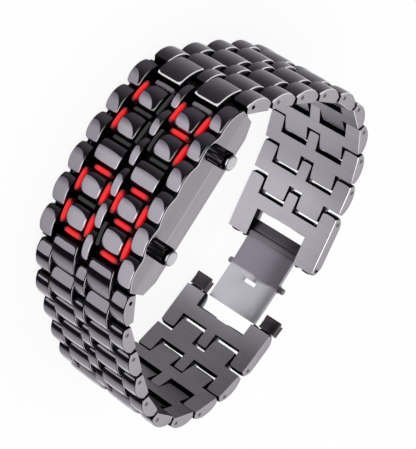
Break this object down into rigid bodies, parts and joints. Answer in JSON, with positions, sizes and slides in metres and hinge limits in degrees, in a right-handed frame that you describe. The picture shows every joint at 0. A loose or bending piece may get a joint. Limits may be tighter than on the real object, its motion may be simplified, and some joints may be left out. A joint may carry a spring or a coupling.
{
  "type": "led watch",
  "caption": "Metal bracelet wristwatch whose domed link-like face shows the time with red light strips, with side push buttons and a folding blade clasp.",
  "frame": {"origin": "Middle of the head along the band, on the outer face of the far side plate, level with the middle of the side walls; the watch lies on that plate", "axes": "+X along the head towards 12 o'clock, +Y out through the face, +Z across the band towards the push buttons"},
  "size_m": [0.0773, 0.0663, 0.0297],
  "materials": {
    "band_steel": "polished, dark gunmetal plating",
    "case_steel": "satin, dark gunmetal plating",
    "face_steel": "polished, dark gunmetal plating",
    "back_steel": "satin",
    "blade_steel": "satin, dark gunmetal plating",
    "black_steel": "black plated, glossy",
    "pin_steel": "plain turned",
    "cap_chrome": "polished",
    "cell_steel": "plain",
    "spring_steel": "plain",
    "mask_plastic": "matte black",
    "guide_plastic": "clear red, glossy",
    "board_laminate": "satin"
  },
  "bodies": {
    "root": {"case": "case_steel", "face_grille": "face_steel", "light_mask": "mask_plastic", "light_guides": "guide_plastic", "circuit_board": "board_laminate", "button_cells": "cell_steel", "case_back": "back_steel", "back_screws": "pin_steel", "button_collars": "black_steel", "button_spring_12": "spring_steel", "button_spring_6": "spring_steel"},
    "link_12h_1": {"link_12h_1": "band_steel", "pin_12h_1": "pin_steel"},
    "link_6h_1": {"link_6h_1": "band_steel", "pin_6h_1": "pin_steel"},
    "link_12h_2": {"link_12h_2": "band_steel", "pin_12h_2": "pin_steel"},
    "link_6h_2": {"link_6h_2": "band_steel", "pin_6h_2": "pin_steel"},
    "link_12h_3": {"link_12h_3": "band_steel", "pin_12h_3": "pin_steel"},
    "link_6h_3": {"link_6h_3": "band_steel", "pin_6h_3": "pin_steel"},
    "link_12h_4": {"link_12h_4": "band_steel", "pin_12h_4": "pin_steel"},
    "link_6h_4": {"link_6h_4": "band_steel", "pin_6h_4": "pin_steel"},
    "link_12h_5": {"link_12h_5": "band_steel", "pin_12h_5": "pin_steel"},
    "link_6h_5": {"link_6h_5": "band_steel", "pin_6h_5": "pin_steel"},
    "link_12h_6": {"link_12h_6": "band_steel", "pin_12h_6": "pin_steel"},
    "link_6h_6": {"link_6h_6": "band_steel", "pin_6h_6": "pin_steel"},
    "link_12h_7": {"link_12h_7": "band_steel", "pin_12h_7": "pin_steel"},
    "link_6h_7": {"link_6h_7": "band_steel", "pin_6h_7": "pin_steel"},
    "link_12h_8": {"link_12h_8": "band_steel", "pin_12h_8": "pin_steel"},
    "link_6h_8": {"link_6h_8": "band_steel", "pin_6h_8": "pin_steel"},
    "link_12h_9": {"link_12h_9": "band_steel", "pin_12h_9": "pin_steel"},
    "link_6h_9": {"link_6h_9": "band_steel", "pin_6h_9": "pin_steel"},
    "clasp_12": {"clasp_frame_12": "band_steel", "pin_12h_10": "pin_steel", "clasp_hinge_pin": "pin_steel"},
    "clasp_6": {"clasp_frame_6": "band_steel", "pin_6h_10": "pin_steel", "release_spring_near": "spring_steel", "release_spring_far": "spring_steel"},
    "blade": {"clasp_blade": "blade_steel", "clasp_lock_pin": "pin_steel"},
    "push_button_12": {"push_button_12": "cap_chrome"},
    "push_button_6": {"push_button_6": "cap_chrome"},
    "release_button_near": {"release_button_near": "black_steel"},
    "release_button_far": {"release_button_far": "black_steel"}
  },
  "joints": [
    {"name": "hinge_12h_1", "type": "hinge", "parent": "root", "child": "link_12h_1", "pos_m": [0.02121, -0.00202, 0.01235], "axis": [0, 0, 1], "range_deg": [-2, 25]},
    {"name": "hinge_12h_2", "type": "hinge", "parent": "link_12h_1", "child": "link_12h_2", "pos_m": [0.02489, -0.00867, 0.01235], "axis": [0, 0, 1], "range_deg": [-15.5, 4.5]},
    {"name": "hinge_12h_3", "type": "hinge", "parent": "link_12h_2", "child": "link_12h_3", "pos_m": [0.02852, -0.01535, 0.01235], "axis": [0, 0, 1], "range_deg": [-12, 8]},
    {"name": "hinge_12h_4", "type": "hinge", "parent": "link_12h_3", "child": "link_12h_4", "pos_m": [0.03167, -0.02226, 0.01235], "axis": [0, 0, 1], "range_deg": [-9, 11]},
    {"name": "hinge_12h_5", "type": "hinge", "parent": "link_12h_4", "child": "link_12h_5", "pos_m": [0.03395, -0.02951, 0.01235], "axis": [0, 0, 1], "range_deg": [-2, 20]},
    {"name": "hinge_12h_6", "type": "hinge", "parent": "link_12h_5", "child": "link_12h_6", "pos_m": [0.03415, -0.03711, 0.01235], "axis": [0, 0, 1], "range_deg": [-1.5, 26.5]},
    {"name": "hinge_12h_7", "type": "hinge", "parent": "link_12h_6", "child": "link_12h_7", "pos_m": [0.03143, -0.0442, 0.01235], "axis": [0, 0, 1], "range_deg": [-2, 24]},
    {"name": "hinge_12h_8", "type": "hinge", "parent": "link_12h_7", "child": "link_12h_8", "pos_m": [0.02644, -0.04994, 0.01235], "axis": [0, 0, 1], "range_deg": [-3.5, 20.5]},
    {"name": "hinge_12h_9", "type": "hinge", "parent": "link_12h_8", "child": "link_12h_9", "pos_m": [0.02003, -0.05402, 0.01235], "axis": [0, 0, 1], "range_deg": [-3.5, 18.5]},
    {"name": "hinge_12h_10", "type": "hinge", "parent": "link_12h_9", "child": "clasp_12", "pos_m": [0.01281, -0.05637, 0.01235], "axis": [0, 0, 1], "range_deg": [-15.5, 6.5]},
    {"name": "hinge_6h_1", "type": "hinge", "parent": "root", "child": "link_6h_1", "pos_m": [-0.02121, -0.00202, 0.01235], "axis": [0, 0, 1], "range_deg": [-5.5, 2.5]},
    {"name": "hinge_6h_2", "type": "hinge", "parent": "link_6h_1", "child": "link_6h_2", "pos_m": [-0.0269, -0.00706, 0.01235], "axis": [0, 0, 1], "range_deg": [-23.5, 3]},
    {"name": "hinge_6h_3", "type": "hinge", "parent": "link_6h_2", "child": "link_6h_3", "pos_m": [-0.03058, -0.0137, 0.01235], "axis": [0, 0, 1], "range_deg": [-4, 24]},
    {"name": "hinge_6h_4", "type": "hinge", "parent": "link_6h_3", "child": "link_6h_4", "pos_m": [-0.03427, -0.02035, 0.01235], "axis": [0, 0, 1], "range_deg": [-5.5, 22.5]},
    {"name": "hinge_6h_5", "type": "hinge", "parent": "link_6h_4", "child": "link_6h_5", "pos_m": [-0.03778, -0.02709, 0.01235], "axis": [0, 0, 1], "range_deg": [-14.5, 13.5]},
    {"name": "hinge_6h_6", "type": "hinge", "parent": "link_6h_5", "child": "link_6h_6", "pos_m": [-0.04, -0.03436, 0.01235], "axis": [0, 0, 1], "range_deg": [-26, 2]},
    {"name": "hinge_6h_7", "type": "hinge", "parent": "link_6h_6", "child": "link_6h_7", "pos_m": [-0.03934, -0.04193, 0.01235], "axis": [0, 0, 1], "range_deg": [-26, 2]},
    {"name": "hinge_6h_8", "type": "hinge", "parent": "link_6h_7", "child": "link_6h_8", "pos_m": [-0.03589, -0.0487, 0.01235], "axis": [0, 0, 1], "range_deg": [-23.5, 4.5]},
    {"name": "hinge_6h_9", "type": "hinge", "parent": "link_6h_8", "child": "link_6h_9", "pos_m": [-0.03037, -0.05393, 0.01235], "axis": [0, 0, 1], "range_deg": [-25, 3]},
    {"name": "hinge_6h_10", "type": "hinge", "parent": "link_6h_9", "child": "clasp_6", "pos_m": [-0.02335, -0.05684, 0.01235], "axis": [0, 0, 1], "range_deg": [-17.5, 10.5]},
    {"name": "blade_hinge", "type": "hinge", "parent": "clasp_12", "child": "blade", "pos_m": [0.00221, -0.05931, 0.01235], "axis": [0, 0, 1], "range_deg": [-10, 75]},
    {"name": "push_12", "type": "slide", "parent": "root", "child": "push_button_12", "axis": [0, 0, -1], "range_m": [0, 0.0006], "stiffness_N_per_m": 1200, "deforming": ["button_spring_12"]},
    {"name": "push_6", "type": "slide", "parent": "root", "child": "push_button_6", "axis": [0, 0, -1], "range_m": [0, 0.0006], "stiffness_N_per_m": 1200, "deforming": ["button_spring_6"]},
    {"name": "release_near", "type": "slide", "parent": "clasp_6", "child": "release_button_near", "axis": [0, 0, -1], "range_m": [0, 0.0006], "stiffness_N_per_m": 800, "deforming": ["release_spring_near"]},
    {"name": "release_far", "type": "slide", "parent": "clasp_6", "child": "release_button_far", "axis": [0, 0, 1], "range_m": [0, 0.0006], "stiffness_N_per_m": 800, "deforming": ["release_spring_far"]}
  ]
}
